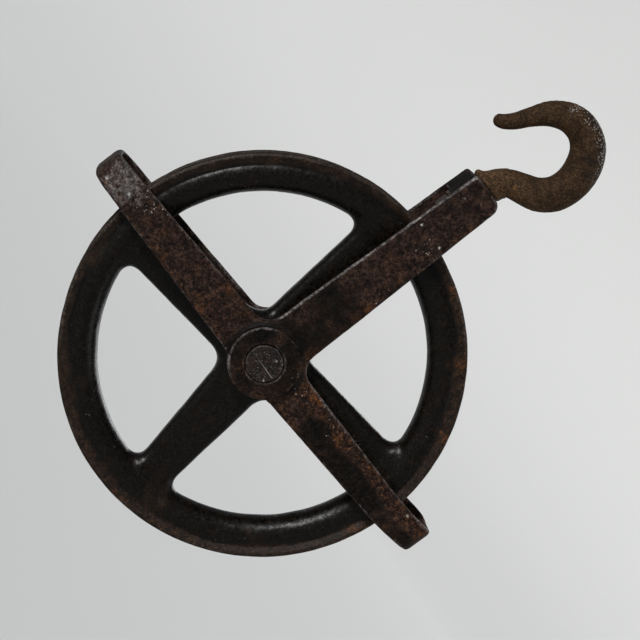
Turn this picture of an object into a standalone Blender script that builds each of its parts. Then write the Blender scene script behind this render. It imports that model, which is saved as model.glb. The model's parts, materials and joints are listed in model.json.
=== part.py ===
"""Well wheel: a single rope sheave in a T-shaped frame that swivels under a hook.

It hangs as it works. +Z is up towards the hook, the wheel turns about an axle
along Y, and -Y is the front. The origin is the load point: the inside top of the
hook's bowl, on the swivel axis. Lengths are in metres.

Pieces that lie in the plane of the wheel are drawn face on: local X is world X,
local Y is world Z, and local Z points out of the front, towards world -Y.
"""

import math

import bmesh
import bpy
from mathutils import Matrix, Vector

MM = 0.001
GAP = 0.3 * MM  # clearance between pieces that touch or are threaded together
SLIVER = 0.3 * MM  # what a shape to be trimmed stands past the trimming face

# Driving dimensions
SHEAVE_RADIUS = 152.4 * MM  # a 12 inch wheel
FRAME_HALF_DEPTH = 30 * MM
STRAP = 5 * MM
KEEPER_LEFT = 186.5 * MM  # axle to the outside of each rope keeper
KEEPER_RIGHT = 183.5 * MM
CROSSHEAD_TOP = 207 * MM  # axle to the face that the hook's collar turns on
LOAD_POINT = 277 * MM  # axle to the inside top of the hook's bowl
AXLE_Z = -LOAD_POINT

# Sheave
RIM_HALF_WIDTH = 15.5 * MM
TROUGH_RADIUS = 14 * MM  # outside of the half-round trough
TROUGH_WALL = 5.5 * MM
RIM_INNER = 122.7 * MM
LIP_FOOT = 144 * MM  # where the lip leaves the trough
LIP_THICKNESS = 4 * MM
SPOKE_COUNT = 4
SPOKE_PHASE = math.radians(9.7)
SPOKE_ROOT = 22.2 * MM  # half width of a spoke, extended to the axle
SPOKE_TAPER = 0.06  # half width lost per unit of radius
SPOKE_HALF_DEPTH = 8 * MM
SPOKE_ROUND = 6 * MM
WINDOW_REACH = 124 * MM
WEB_RADIUS = 127.6 * MM  # the spokes end inside the wall of the trough
WINDOW_RIM_CORNER = 12 * MM
WINDOW_HUB_CORNER = 13 * MM
HUB_HALF_LENGTH = 23.4 * MM
HUB_END_RADIUS = 24 * MM
HUB_ROOT_RADIUS = 33 * MM

# Frame
PLATE_BACK = FRAME_HALF_DEPTH - STRAP
KEEPER_BEND = 18 * MM
CROSSHEAD_THICKNESS = 22.5 * MM
HANGER_HALF_WIDTH = (20 * MM, 15.4 * MM)  # at the boss, at the crosshead
KEEPER_HALF_WIDTH = (17.3 * MM, 13.2 * MM, 12 * MM)  # at the boss, the knee and the end
KEEPER_KNEE = 148 * MM  # the arms of the casting are bent a little here
KEEPER_LIFT_RIGHT = (3.8 * MM, 8.3 * MM)  # height of the arm's middle at the knee and the end
KEEPER_LIFT_LEFT = (-1.8 * MM, -1.9 * MM)
KNEE_RADIUS = 150 * MM
KEEPER_CORNER = 5 * MM
ARM_FILLET = 14 * MM
CROSSHEAD_CORNERS = (2.5 * MM, 8 * MM)  # left, right
BOSS_RADIUS = 27.5 * MM
BOSS_FOOT_RADIUS = 29 * MM
BOSS_FACE = 35.5 * MM
BOSS_PAD = 24 * MM  # thrust face inside the frame, from the wheel's plane

# Axle
AXLE_RADIUS = 9.5 * MM
HEAD_RADIUS = 14 * MM
HEAD_CREVICE = 0.6 * MM
HEAD_SEAT = 27.5 * MM
HEAD_FACE = 36.7 * MM
AXLE_END = 46 * MM
AXLE_WASHER_THICKNESS = 2.5 * MM
AXLE_WASHER_RADIUS = 18 * MM
PIN_WIRE_RADIUS = 0.9 * MM
PIN_LEG_OFFSET = 1.05 * MM
PIN_HOLE_RADIUS = 2.25 * MM
PIN_HOLE_AT = 41.5 * MM

# Hook
SHANK_RADIUS = 8 * MM
COLLAR_RADIUS = 14 * MM
COLLAR_THICKNESS = 3.4 * MM
HOOK_FLATTENING = 0.88
SWIVEL_WASHER_RADIUS = 15 * MM
SWIVEL_WASHER_THICKNESS = 2.5 * MM
NUT_WIDTH = 25 * MM
NUT_HEIGHT = 11 * MM
PEEN_RADIUS = 9.6 * MM
PEEN_HEIGHT = 2.6 * MM

# Centre line of the hook from its collar to its tip: x, height above the axle, radius (mm)
HOOK_SPINE = (
    (0.0, 209.8, 9.4),
    (0.6, 213.4, 9.5),
    (3.4, 218.2, 9.9),
    (9.0, 223.6, 10.9),
    (17.5, 228.3, 12.0),
    (28.0, 234.8, 13.2),
    (35.3, 245.0, 13.9),
    (37.0, 258.0, 14.1),
    (33.5, 272.0, 14.4),
    (24.8, 284.0, 14.1),
    (11.5, 290.0, 13.2),
    (-2.5, 288.0, 12.0),
    (-14.0, 278.5, 10.2),
    (-21.0, 265.5, 8.0),
    (-25.6, 254.5, 6.8),
    (-31.0, 246.8, 6.1),
    (-34.2, 244.0, 4.4),
    (-35.6, 242.8, 1.6),
)

FACE_ON = (math.pi / 2, 0, 0)
FACE_BACK = (-math.pi / 2, 0, 0)

# Base colour, metallic, roughness
FINISHES = {
    "frame_iron": ((0.075, 0.034, 0.021, 1), 0.55, 0.62),
    "sheave_iron": ((0.022, 0.021, 0.024, 1), 0.35, 0.38),
    "axle_steel": ((0.066, 0.042, 0.034, 1), 0.65, 0.5),
    "hook_iron": ((0.13, 0.078, 0.045, 1), 0.45, 0.72),
    "fastener_iron": ((0.06, 0.04, 0.03, 1), 0.55, 0.6),
}


def clear_scene():
    for obj in list(bpy.data.objects):
        bpy.data.objects.remove(obj, do_unlink=True)


def make_collection(name):
    collection = bpy.data.collections.new(name)
    bpy.context.scene.collection.children.link(collection)
    return collection


def make_material(name):
    colour, metallic, roughness = FINISHES[name]
    material = bpy.data.materials.new(name)
    material.use_nodes = True
    shader = material.node_tree.nodes["Principled BSDF"]
    shader.inputs["Base Color"].default_value = colour
    shader.inputs["Metallic"].default_value = metallic
    shader.inputs["Roughness"].default_value = roughness
    material.diffuse_color = colour
    return material


def place(obj, collection, location=(0, 0, 0), rotation=(0, 0, 0)):
    obj.location = location
    obj.rotation_euler = rotation
    collection.objects.link(obj)
    return obj


def as_part(obj, material_name):
    obj.data.materials.clear()
    obj.data.materials.append(MATERIALS[material_name])
    obj.data.shade_smooth()
    obj.data.set_sharp_from_angle(angle=math.radians(35))
    return obj


def as_cutter(obj):
    obj.hide_render = True
    obj.display_type = "WIRE"
    return obj


def arc(centre, radius, start, end, steps):
    """Points on an arc from one angle to another, both ends included."""
    points = []
    for step in range(steps + 1):
        angle = start + (end - start) * step / steps
        points.append((centre[0] + radius * math.cos(angle), centre[1] + radius * math.sin(angle)))
    return points


def rounded_polygon(corners, steps=6):
    """Outline through (x, y, radius) corners, each rounded to its own radius."""
    points = []
    for index, (x, y, radius) in enumerate(corners):
        here = Vector((x, y))
        if radius == 0:
            points.append((x, y))
            continue
        before = (Vector(corners[index - 1][:2]) - here).normalized()
        after = (Vector(corners[(index + 1) % len(corners)][:2]) - here).normalized()
        half_angle = before.angle(after) / 2
        centre = here + (before + after).normalized() * radius / math.sin(half_angle)
        first = here + before * radius / math.tan(half_angle) - centre
        last = here + after * radius / math.tan(half_angle) - centre
        start = math.atan2(first.y, first.x)
        sweep = math.atan2(first.cross(last), first.dot(last))
        points += arc(centre, radius, start, start + sweep, steps)
    return points


def flat_curve(name, outline):
    """A filled 2D curve with straight sides between the points of an outline."""
    curve = bpy.data.curves.new(name, "CURVE")
    curve.dimensions = "2D"
    curve.fill_mode = "BOTH"
    spline = curve.splines.new("POLY")
    spline.points.add(len(outline) - 1)
    for point, (x, y) in zip(spline.points, outline):
        point.co = (x, y, 0, 1)
    spline.use_cyclic_u = True
    return bpy.data.objects.new(name, curve)


def mesh_from_curve(curve_obj, collection):
    """Replace a curve by its mesh, with the caps welded on."""
    bpy.context.view_layer.update()
    evaluated = curve_obj.evaluated_get(bpy.context.evaluated_depsgraph_get())
    mesh = bpy.data.meshes.new_from_object(evaluated)
    work = bmesh.new()
    work.from_mesh(mesh)
    bmesh.ops.remove_doubles(work, verts=work.verts, dist=0.01 * MM)
    bmesh.ops.recalc_face_normals(work, faces=work.faces)
    work.to_mesh(mesh)
    work.free()
    name = curve_obj.name
    matrix = curve_obj.matrix_world.copy()
    bpy.data.objects.remove(curve_obj, do_unlink=True)
    obj = bpy.data.objects.new(name, mesh)
    collection.objects.link(obj)
    obj.matrix_world = matrix
    return obj


def extruded(name, outline, thickness, collection, location, rotation):
    """A flat outline extruded about its own plane."""
    obj = flat_curve(name, outline)
    obj.data.extrude = thickness / 2
    place(obj, collection, location, rotation)
    return mesh_from_curve(obj, collection)


def turned(name, profile, collection, location, rotation, closed=False, steps=64):
    """A profile of (radius, height) points, run down its outer side, turned about local Z."""
    mesh = bpy.data.meshes.new(name)
    edges = [(index, index + 1) for index in range(len(profile) - 1)]
    if closed:
        edges.append((len(profile) - 1, 0))
    mesh.from_pydata([(radius, 0, height) for radius, height in profile], edges, [])
    obj = place(bpy.data.objects.new(name, mesh), collection, location, rotation)
    screw = obj.modifiers.new("turn", "SCREW")
    screw.axis = "Z"
    screw.steps = steps
    screw.render_steps = steps
    screw.use_merge_vertices = True
    screw.merge_threshold = 0.01 * MM
    screw.use_smooth_shade = True
    return obj


def cylinder(name, radius, low, high, collection, location, rotation, sides=48):
    """A plain cylinder along local Z from low to high."""
    mesh = bpy.data.meshes.new(name)
    work = bmesh.new()
    bmesh.ops.create_cone(
        work, cap_ends=True, segments=sides, radius1=radius, radius2=radius, depth=high - low
    )
    bmesh.ops.translate(work, verts=work.verts, vec=(0, 0, (low + high) / 2))
    work.to_mesh(mesh)
    work.free()
    return place(bpy.data.objects.new(name, mesh), collection, location, rotation)


def lofted(name, rings, collection, location, rotation):
    """A closed body through (height, outline) rings along local Z, lowest first."""
    mesh = bpy.data.meshes.new(name)
    work = bmesh.new()
    loops = [[work.verts.new((x, y, height)) for x, y in outline] for height, outline in rings]
    for low, high in zip(loops, loops[1:]):
        for index in range(len(low)):
            following = (index + 1) % len(low)
            work.faces.new((low[index], low[following], high[following], high[index]))
    work.faces.new(reversed(loops[0]))
    work.faces.new(loops[-1])
    bmesh.ops.recalc_face_normals(work, faces=work.faces)
    work.to_mesh(mesh)
    work.free()
    return place(bpy.data.objects.new(name, mesh), collection, location, rotation)


def combine(obj, operation, other):
    modifier = obj.modifiers.new(operation.lower() + "_" + other.name, "BOOLEAN")
    modifier.operation = operation
    modifier.solver = "EXACT"
    modifier.object = as_cutter(other)


def round_edges(obj, width, segments):
    """Round an object's sharp edges."""
    rounding = obj.modifiers.new("rounded_edges", "BEVEL")
    rounding.width = width
    rounding.segments = segments
    rounding.limit_method = "ANGLE"
    rounding.angle_limit = math.radians(50)
    rounding.use_clamp_overlap = False


def rim_profile():
    """Section of the rim: a half-round trough whose two lips flare outwards."""
    centre = (RIM_INNER + TROUGH_RADIUS, 0)
    groove_radius = TROUGH_RADIUS - TROUGH_WALL
    foot = math.asin((LIP_FOOT - centre[0]) / TROUGH_RADIUS)
    edge = 1.2 * MM
    lip_inside = RIM_HALF_WIDTH - LIP_THICKNESS
    front_lip = [(SHEAVE_RADIUS - edge, RIM_HALF_WIDTH), (SHEAVE_RADIUS, RIM_HALF_WIDTH - edge)]
    front_lip += [(SHEAVE_RADIUS, lip_inside + edge), (SHEAVE_RADIUS - edge, lip_inside)]
    groove = arc(centre, groove_radius, math.pi / 2, 3 * math.pi / 2, 8)
    back_lip = [(radius, -height) for radius, height in reversed(front_lip)]
    start = math.pi / 2 - foot
    trough = arc(centre, TROUGH_RADIUS, 2 * math.pi - start, start, 12)
    return front_lip + groove + back_lip + trough


def hub_profile():
    """Section of the hub, a little proud of the spokes where they meet it."""
    shoulder = SPOKE_HALF_DEPTH + 4 * MM
    chamfer = 1.5 * MM
    upper = [(0, HUB_HALF_LENGTH), (HUB_END_RADIUS - chamfer, HUB_HALF_LENGTH)]
    upper += [(HUB_END_RADIUS, HUB_HALF_LENGTH - chamfer), (HUB_END_RADIUS + 1 * MM, shoulder)]
    upper += [(HUB_ROOT_RADIUS - 5 * MM, SPOKE_HALF_DEPTH), (HUB_ROOT_RADIUS, SPOKE_HALF_DEPTH / 2)]
    return upper + [(radius, -height) for radius, height in reversed(upper)]


def window_outline(middle, growth):
    """The opening between two spokes, with its middle at an angle, enlarged all round."""
    half_pitch = math.pi / SPOKE_COUNT
    edge_angle = half_pitch + math.atan(SPOKE_TAPER)
    offset = SPOKE_ROOT * math.cos(math.atan(SPOKE_TAPER))
    normal = Vector((math.sin(edge_angle), -math.cos(edge_angle)))
    along = Vector((math.cos(edge_angle), math.sin(edge_angle)))

    hub_centre = ((offset + WINDOW_HUB_CORNER) / normal.x, 0)
    reach = WINDOW_REACH - WINDOW_RIM_CORNER
    out = offset + WINDOW_RIM_CORNER
    rim_centre = normal * out + along * math.sqrt(reach**2 - out**2)
    rim_angle = math.atan2(rim_centre.y, rim_centre.x)
    edge_side = edge_angle + math.pi / 2

    upper = arc((0, 0), WINDOW_REACH + growth, 0, rim_angle, 6)
    upper += arc(rim_centre, WINDOW_RIM_CORNER + growth, rim_angle, edge_side, 5)[1:]
    upper += arc(hub_centre, WINDOW_HUB_CORNER + growth, edge_side, math.pi, 4)
    points = upper + [(x, -y) for x, y in reversed(upper[1:-1])]
    turn = Matrix.Rotation(middle, 2)
    return [turn @ Vector(point) for point in points]


def make_window_cutter(number, at_axle):
    """Cutter for one window, flaring at both faces so that the spokes come out rounded."""
    middle = SPOKE_PHASE + math.tau * (number + 0.5) / SPOKE_COUNT
    angles = [math.radians(degrees) for degrees in (0, 22, 44, 66, 80)]
    start = SPOKE_HALF_DEPTH - SPOKE_ROUND * math.sin(angles[-2])
    upper = [(start + SPOKE_ROUND * math.sin(a), SPOKE_ROUND * (1 - math.cos(a))) for a in angles]
    levels = [(-height, growth) for height, growth in reversed(upper)] + upper
    rings = [(height, window_outline(middle, growth)) for height, growth in levels]
    return lofted("sheave_window_%d" % number, rings, CUTTERS, at_axle, FACE_ON)


def make_sheave(at_axle):
    sheave = turned("sheave", rim_profile(), PARTS, at_axle, FACE_ON, closed=True)
    web = cylinder(
        "sheave_web", WEB_RADIUS, -SPOKE_HALF_DEPTH, SPOKE_HALF_DEPTH, CUTTERS, at_axle, FACE_ON, 64
    )
    for number in range(SPOKE_COUNT):
        combine(web, "DIFFERENCE", make_window_cutter(number, at_axle))
    hub = turned("sheave_hub", hub_profile(), CUTTERS, at_axle, FACE_ON, steps=48)
    reach = HUB_HALF_LENGTH + 5 * MM
    bore = cylinder("sheave_bore", AXLE_RADIUS + GAP, -reach, reach, CUTTERS, at_axle, FACE_ON)
    combine(sheave, "UNION", web)
    combine(sheave, "UNION", hub)
    combine(sheave, "DIFFERENCE", bore)
    return as_part(sheave, "sheave_iron")


def keeper_corners(reach, lifts):
    """Lower and upper corners of one arm, from its knee to its end, for an arm to the right."""
    knee_width, end_width = KEEPER_HALF_WIDTH[1:]
    knee_lift, end_lift = lifts
    lower = [(KEEPER_KNEE, knee_lift - knee_width, KNEE_RADIUS)]
    lower += [(reach + SLIVER, end_lift - end_width, KEEPER_CORNER)]
    upper = [(reach + SLIVER, end_lift + end_width, KEEPER_CORNER)]
    upper += [(KEEPER_KNEE, knee_lift + knee_width, KNEE_RADIUS)]
    return lower + upper


def frame_outline():
    """The T of the frame face on: hanger up, one keeper arm to each side."""
    hanger_root, hanger_tip = HANGER_HALF_WIDTH
    keeper_root = KEEPER_HALF_WIDTH[0]
    left_corner, right_corner = CROSSHEAD_CORNERS
    corners = [(0, -keeper_root, 0)]
    corners += keeper_corners(KEEPER_RIGHT, KEEPER_LIFT_RIGHT)
    corners += [(hanger_root, keeper_root, ARM_FILLET)]
    corners += [(hanger_tip, CROSSHEAD_TOP, right_corner)]
    corners += [(-hanger_tip, CROSSHEAD_TOP, left_corner)]
    corners += [(-hanger_root, keeper_root, ARM_FILLET)]
    left_arm = keeper_corners(KEEPER_LEFT, KEEPER_LIFT_LEFT)
    corners += [(-x, y, radius) for x, y, radius in reversed(left_arm)]
    return rounded_polygon(corners)


def rounded_bar(name, left, right, half_depth, corner, low, high):
    """An upright bar of rounded rectangular section, centred on the wheel's plane."""
    corners = [(right, -half_depth, corner), (right, half_depth, corner)]
    corners += [(-left, half_depth, corner), (-left, -half_depth, corner)]
    middle = AXLE_Z + (low + high) / 2
    outline = rounded_polygon(corners)
    return extruded(name, outline, high - low, CUTTERS, (0, 0, middle), (0, 0, 0))


def boss_profile():
    """Boss with a swept foot on the outside and a thrust pad on the inside."""
    edge = 1.2 * MM
    top = [(0, BOSS_FACE), (BOSS_RADIUS - edge, BOSS_FACE), (BOSS_RADIUS, BOSS_FACE - edge)]
    rise = BOSS_FOOT_RADIUS - BOSS_RADIUS
    centre = (BOSS_FOOT_RADIUS, FRAME_HALF_DEPTH + rise)
    foot = arc(centre, rise, math.pi, 3 * math.pi / 2, 4)
    bottom = [(BOSS_FOOT_RADIUS, PLATE_BACK + 1 * MM), (BOSS_RADIUS, BOSS_PAD), (0, BOSS_PAD)]
    return top + foot + bottom


def axle_bore_profile():
    """Cutter for the axle: a counterbore for its head, then a clear hole."""
    head = HEAD_RADIUS + HEAD_CREVICE
    shank = AXLE_RADIUS + GAP
    far = 60 * MM
    return [(0, far), (head, far), (head, HEAD_SEAT), (shank, HEAD_SEAT), (shank, -far), (0, -far)]


def make_frame(at_axle):
    depth = 2 * FRAME_HALF_DEPTH + 20 * MM
    frame = extruded("frame", frame_outline(), depth, PARTS, at_axle, FACE_ON)
    below = -80 * MM
    above = CROSSHEAD_TOP + 20 * MM
    inside_top = CROSSHEAD_TOP - CROSSHEAD_THICKNESS
    outer = rounded_bar(
        "frame_outer", KEEPER_LEFT, KEEPER_RIGHT, FRAME_HALF_DEPTH, KEEPER_BEND, below, above
    )
    inner = rounded_bar(
        "frame_inner", KEEPER_LEFT - STRAP, KEEPER_RIGHT - STRAP, PLATE_BACK,
        KEEPER_BEND - STRAP, below, inside_top,
    )
    combine(frame, "INTERSECT", outer)
    combine(frame, "DIFFERENCE", inner)
    for side, rotation in (("front", FACE_ON), ("back", FACE_BACK)):
        boss = turned("frame_boss_" + side, boss_profile(), CUTTERS, at_axle, rotation, steps=48)
        combine(frame, "UNION", boss)
    bore = turned("frame_bore", axle_bore_profile(), CUTTERS, at_axle, FACE_ON, steps=48)
    combine(frame, "DIFFERENCE", bore)
    swivel_hole = cylinder(
        "frame_swivel_hole", SHANK_RADIUS + 2 * GAP, inside_top - 10 * MM, CROSSHEAD_TOP + 10 * MM,
        CUTTERS, at_axle, (0, 0, 0), sides=32,
    )
    combine(frame, "DIFFERENCE", swivel_hole)
    return as_part(frame, "frame_iron")


def make_axle_pin(at_axle):
    edge = 1 * MM
    profile = [(0, HEAD_FACE), (HEAD_RADIUS - edge, HEAD_FACE), (HEAD_RADIUS, HEAD_FACE - edge)]
    profile += [(HEAD_RADIUS, HEAD_SEAT + GAP), (AXLE_RADIUS, HEAD_SEAT + GAP)]
    profile += [(AXLE_RADIUS, edge - AXLE_END), (AXLE_RADIUS - edge, -AXLE_END), (0, -AXLE_END)]
    axle = turned("axle_pin", profile, PARTS, at_axle, FACE_ON, steps=48)
    at_hole = (0, PIN_HOLE_AT, AXLE_Z)
    reach = AXLE_RADIUS + 5 * MM
    hole = cylinder(
        "axle_pin_hole", PIN_HOLE_RADIUS, -reach, reach, CUTTERS, at_hole, (0, 0, 0), sides=16
    )
    combine(axle, "DIFFERENCE", hole)
    return as_part(axle, "axle_steel")


def make_axle_washer():
    inner = AXLE_RADIUS + GAP
    half = AXLE_WASHER_THICKNESS / 2
    edge = 0.4 * MM
    profile = [(AXLE_WASHER_RADIUS - edge, half), (AXLE_WASHER_RADIUS, half - edge)]
    profile += [(AXLE_WASHER_RADIUS, edge - half), (AXLE_WASHER_RADIUS - edge, -half)]
    profile += [(inner, -half), (inner, half)]
    location = (0, BOSS_FACE + GAP + half, AXLE_Z)
    washer = turned("axle_washer", profile, PARTS, location, FACE_ON, closed=True, steps=40)
    return as_part(washer, "fastener_iron")


def split_pin_route():
    """One leg of the split pin from its bent tip to the top of the eye: x, z from the axle."""
    wrap = AXLE_RADIUS + PIN_WIRE_RADIUS + 2 * GAP
    leg = PIN_LEG_OFFSET
    route = [(wrap * math.cos(angle), wrap * math.sin(angle)) for angle in (-2.35, -2.05, -1.8)]
    route += [(-leg, -AXLE_RADIUS), (-leg, 0), (-leg, AXLE_RADIUS + 1 * MM)]
    eye = 3.2 * MM
    eye_centre = AXLE_RADIUS + 2.2 * MM + eye
    route += arc((0, eye_centre), eye, math.radians(215), math.radians(90), 5)
    return route


def make_split_pin():
    leg = split_pin_route()
    route = leg + [(-x, z) for x, z in reversed(leg[:-1])]
    curve = bpy.data.curves.new("axle_split_pin", "CURVE")
    curve.dimensions = "3D"
    curve.bevel_depth = PIN_WIRE_RADIUS
    curve.bevel_resolution = 2
    curve.resolution_u = 2
    curve.use_fill_caps = True
    spline = curve.splines.new("BEZIER")
    spline.bezier_points.add(len(route) - 1)
    for point, (x, z) in zip(spline.bezier_points, route):
        point.co = (x, 0, z)
        point.handle_left_type = "AUTO"
        point.handle_right_type = "AUTO"
    pin = place(bpy.data.objects.new("axle_split_pin", curve), PARTS, (0, PIN_HOLE_AT, AXLE_Z))
    return as_part(mesh_from_curve(pin, PARTS), "fastener_iron")


def hook_body():
    """The bent bar of the hook, from inside its collar round to the tip."""
    curve = bpy.data.curves.new("hook", "CURVE")
    curve.dimensions = "3D"
    curve.bevel_depth = MM
    curve.bevel_resolution = 5
    curve.resolution_u = 2
    curve.use_fill_caps = True
    spline = curve.splines.new("BEZIER")
    spline.bezier_points.add(len(HOOK_SPINE) - 1)
    for point, (x, height, radius) in zip(spline.bezier_points, HOOK_SPINE):
        point.co = (x * MM, 0, height * MM - LOAD_POINT)
        point.radius = radius
        point.handle_left_type = "AUTO"
        point.handle_right_type = "AUTO"
    body = mesh_from_curve(place(bpy.data.objects.new("hook", curve), PARTS), PARTS)
    for vertex in body.data.vertices:
        vertex.co.y *= HOOK_FLATTENING
    return body


def shank_profile():
    """Collar, shank and peened end, as heights above the axle."""
    collar_foot = CROSSHEAD_TOP + GAP
    collar_top = collar_foot + COLLAR_THICKNESS
    nut_foot = nut_top() - NUT_HEIGHT
    edge = 0.8 * MM
    neck = 9.2 * MM
    neck_top = collar_top + 5 * MM
    profile = [(0, neck_top), (neck, neck_top), (neck + 1.2 * MM, collar_top + 1 * MM)]
    profile += [(COLLAR_RADIUS - edge, collar_top), (COLLAR_RADIUS, collar_top - edge)]
    profile += [(COLLAR_RADIUS, collar_foot + edge), (COLLAR_RADIUS - edge, collar_foot)]
    profile += [(SHANK_RADIUS, collar_foot), (SHANK_RADIUS, nut_foot - GAP)]
    profile += [(PEEN_RADIUS, nut_foot - GAP), (PEEN_RADIUS - 1 * MM, nut_foot - PEEN_HEIGHT)]
    return profile + [(0, nut_foot - PEEN_HEIGHT - 0.6 * MM)]


def swivel_washer_top():
    return CROSSHEAD_TOP - CROSSHEAD_THICKNESS - GAP


def nut_top():
    return swivel_washer_top() - SWIVEL_WASHER_THICKNESS - GAP


def make_hook(at_axle):
    hook = hook_body()
    shank = turned("hook_shank", shank_profile(), CUTTERS, at_axle, (0, 0, 0), steps=48)
    combine(hook, "UNION", shank)
    return as_part(hook, "hook_iron")


def make_swivel_washer(at_axle):
    top = swivel_washer_top()
    foot = top - SWIVEL_WASHER_THICKNESS
    edge = 0.4 * MM
    inner = SHANK_RADIUS + GAP
    profile = [(SWIVEL_WASHER_RADIUS - edge, top), (SWIVEL_WASHER_RADIUS, top - edge)]
    profile += [(SWIVEL_WASHER_RADIUS, foot + edge), (SWIVEL_WASHER_RADIUS - edge, foot)]
    profile += [(inner, foot), (inner, top)]
    washer = turned("swivel_washer", profile, PARTS, at_axle, (0, 0, 0), closed=True, steps=40)
    return as_part(washer, "fastener_iron")


def make_shank_nut(at_axle):
    """Square nut on the end of the shank, under the crosshead."""
    mesh = bpy.data.meshes.new("shank_nut")
    work = bmesh.new()
    bmesh.ops.create_cube(work, size=1)
    bmesh.ops.scale(work, verts=work.verts, vec=(NUT_WIDTH, NUT_WIDTH, NUT_HEIGHT))
    bmesh.ops.translate(work, verts=work.verts, vec=(0, 0, nut_top() - NUT_HEIGHT / 2))
    work.to_mesh(mesh)
    work.free()
    nut = place(bpy.data.objects.new("shank_nut", mesh), PARTS, at_axle)
    round_edges(nut, 1 * MM, 2)
    low = nut_top() - NUT_HEIGHT - 5 * MM
    high = nut_top() + 5 * MM
    radius = SHANK_RADIUS + GAP
    hole = cylinder("shank_nut_hole", radius, low, high, CUTTERS, at_axle, (0, 0, 0), sides=32)
    combine(nut, "DIFFERENCE", hole)
    return as_part(nut, "fastener_iron")


clear_scene()
PARTS = make_collection("well_wheel")
CUTTERS = make_collection("cutters")
MATERIALS = {name: make_material(name) for name in FINISHES}
AT_AXLE = (0, 0, AXLE_Z)

make_sheave(AT_AXLE)
make_frame(AT_AXLE)
make_axle_pin(AT_AXLE)
make_axle_washer()
make_split_pin()
make_hook(AT_AXLE)
make_swivel_washer(AT_AXLE)
make_shank_nut(AT_AXLE)
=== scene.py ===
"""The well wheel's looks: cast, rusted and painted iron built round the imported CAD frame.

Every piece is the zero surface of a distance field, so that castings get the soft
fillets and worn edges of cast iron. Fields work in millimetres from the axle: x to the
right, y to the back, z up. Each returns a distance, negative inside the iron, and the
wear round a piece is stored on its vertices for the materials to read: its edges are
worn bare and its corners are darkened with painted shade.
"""

import json
import math

import bmesh
import bpy
import numpy as np
from mathutils import Matrix, Vector


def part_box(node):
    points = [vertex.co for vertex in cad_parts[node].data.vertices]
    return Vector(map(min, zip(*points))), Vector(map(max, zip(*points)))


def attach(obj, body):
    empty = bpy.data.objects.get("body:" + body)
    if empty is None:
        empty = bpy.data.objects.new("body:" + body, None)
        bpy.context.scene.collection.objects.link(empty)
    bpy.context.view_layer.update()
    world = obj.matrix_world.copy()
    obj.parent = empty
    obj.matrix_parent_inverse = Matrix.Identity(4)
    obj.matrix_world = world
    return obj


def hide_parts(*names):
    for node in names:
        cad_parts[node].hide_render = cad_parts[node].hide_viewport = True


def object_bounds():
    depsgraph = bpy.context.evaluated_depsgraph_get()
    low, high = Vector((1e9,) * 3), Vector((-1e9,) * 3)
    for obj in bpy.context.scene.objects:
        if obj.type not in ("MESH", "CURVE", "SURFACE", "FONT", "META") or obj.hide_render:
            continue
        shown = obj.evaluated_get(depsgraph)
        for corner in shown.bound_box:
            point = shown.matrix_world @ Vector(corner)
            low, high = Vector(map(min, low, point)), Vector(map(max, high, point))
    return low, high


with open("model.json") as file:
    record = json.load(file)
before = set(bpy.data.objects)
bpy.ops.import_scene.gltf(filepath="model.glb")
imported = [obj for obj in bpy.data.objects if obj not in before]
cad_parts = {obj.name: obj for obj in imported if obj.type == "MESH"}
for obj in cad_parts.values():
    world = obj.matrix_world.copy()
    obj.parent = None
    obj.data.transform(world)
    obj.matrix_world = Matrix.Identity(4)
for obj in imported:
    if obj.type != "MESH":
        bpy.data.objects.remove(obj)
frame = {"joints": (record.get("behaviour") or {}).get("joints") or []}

CAD_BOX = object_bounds()
MM = 0.001


def joint_centre(name):
    joint = next(joint for joint in frame["joints"] if joint["name"] == name)
    return Vector(joint["pos_m"])


AXLE = joint_centre("sheave_spin")


def box_mm(node):
    """A CAD node's box in millimetres from the axle, as two (x, y, z) corners."""
    low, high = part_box(node)
    return (low - AXLE) / MM, (high - AXLE) / MM


FRAME_LOW, FRAME_HIGH = box_mm("frame")
SHEAVE_LOW, SHEAVE_HIGH = box_mm("sheave")
AXLE_LOW, AXLE_HIGH = box_mm("axle_pin")
HOOK_LOW, HOOK_HIGH = box_mm("hook")
WASHER_LOW, WASHER_HIGH = box_mm("axle_washer")
SWIVEL_LOW, SWIVEL_HIGH = box_mm("swivel_washer")
NUT_LOW, NUT_HIGH = box_mm("shank_nut")

# Sheave, in millimetres
SHEAVE_RADIUS = SHEAVE_HIGH.x
RIM_HALF_WIDTH = 15.5
TROUGH_CENTRE = SHEAVE_RADIUS - 15.7
TROUGH_OUTSIDE = 14.0
TROUGH_INSIDE = 8.5
TROUGH_FOOT = 144.0
LIP_THICKNESS = 4.2
SPOKE_PHASE = math.radians(9.7)
SPOKE_ROOT = 22.2
SPOKE_TAPER = 0.06
SPOKE_HALF_DEPTH = 8.0
SPOKE_EDGE = 6.5
SPOKE_END = 124.0
SPOKE_CROTCH = 15.0
RIM_FILLET = ((122.0, 130.0, 138.0), (13.0, 7.0, 2.0))
HUB_RADIUS = 24.6
HUB_HALF_LENGTH = SHEAVE_HIGH.y
BORE_RADIUS = 9.8

# Frame, in millimetres
HALF_DEPTH = 30.0
STRAP = 5.0
KEEPER_BEND = 18.0
CROSSHEAD_TOP = FRAME_HIGH.z
CROSSHEAD_UNDERSIDE = CROSSHEAD_TOP - 22.5
ARM_KNEE = 148.0
ARM_HALF_WIDTH = (17.3, 13.2, 12.0)
ARM_KNEE_RADIUS = 150.0
ARM_CORNER = 6.0
ARM_SPARE = 0.8
RIGHT_LIFT = (3.8, 8.3)
LEFT_LIFT = (-1.8, -1.9)
HANGER_HALF_WIDTH = 15.4
HANGER_ROOT = (20.0, 14.0)
CROSSHEAD_CORNERS = (3.0, 8.0)
BOSS_RADIUS = 27.5
BOSS_STEP_RADIUS = 30.8
BOSS_STEP_RISE = 2.2
BOSS_FACE = FRAME_HIGH.y
BOSS_PAD = 24.0
HEAD_RADIUS = AXLE_HIGH.x
HEAD_CREVICE = 0.45
HEAD_SEAT = 27.5
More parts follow.
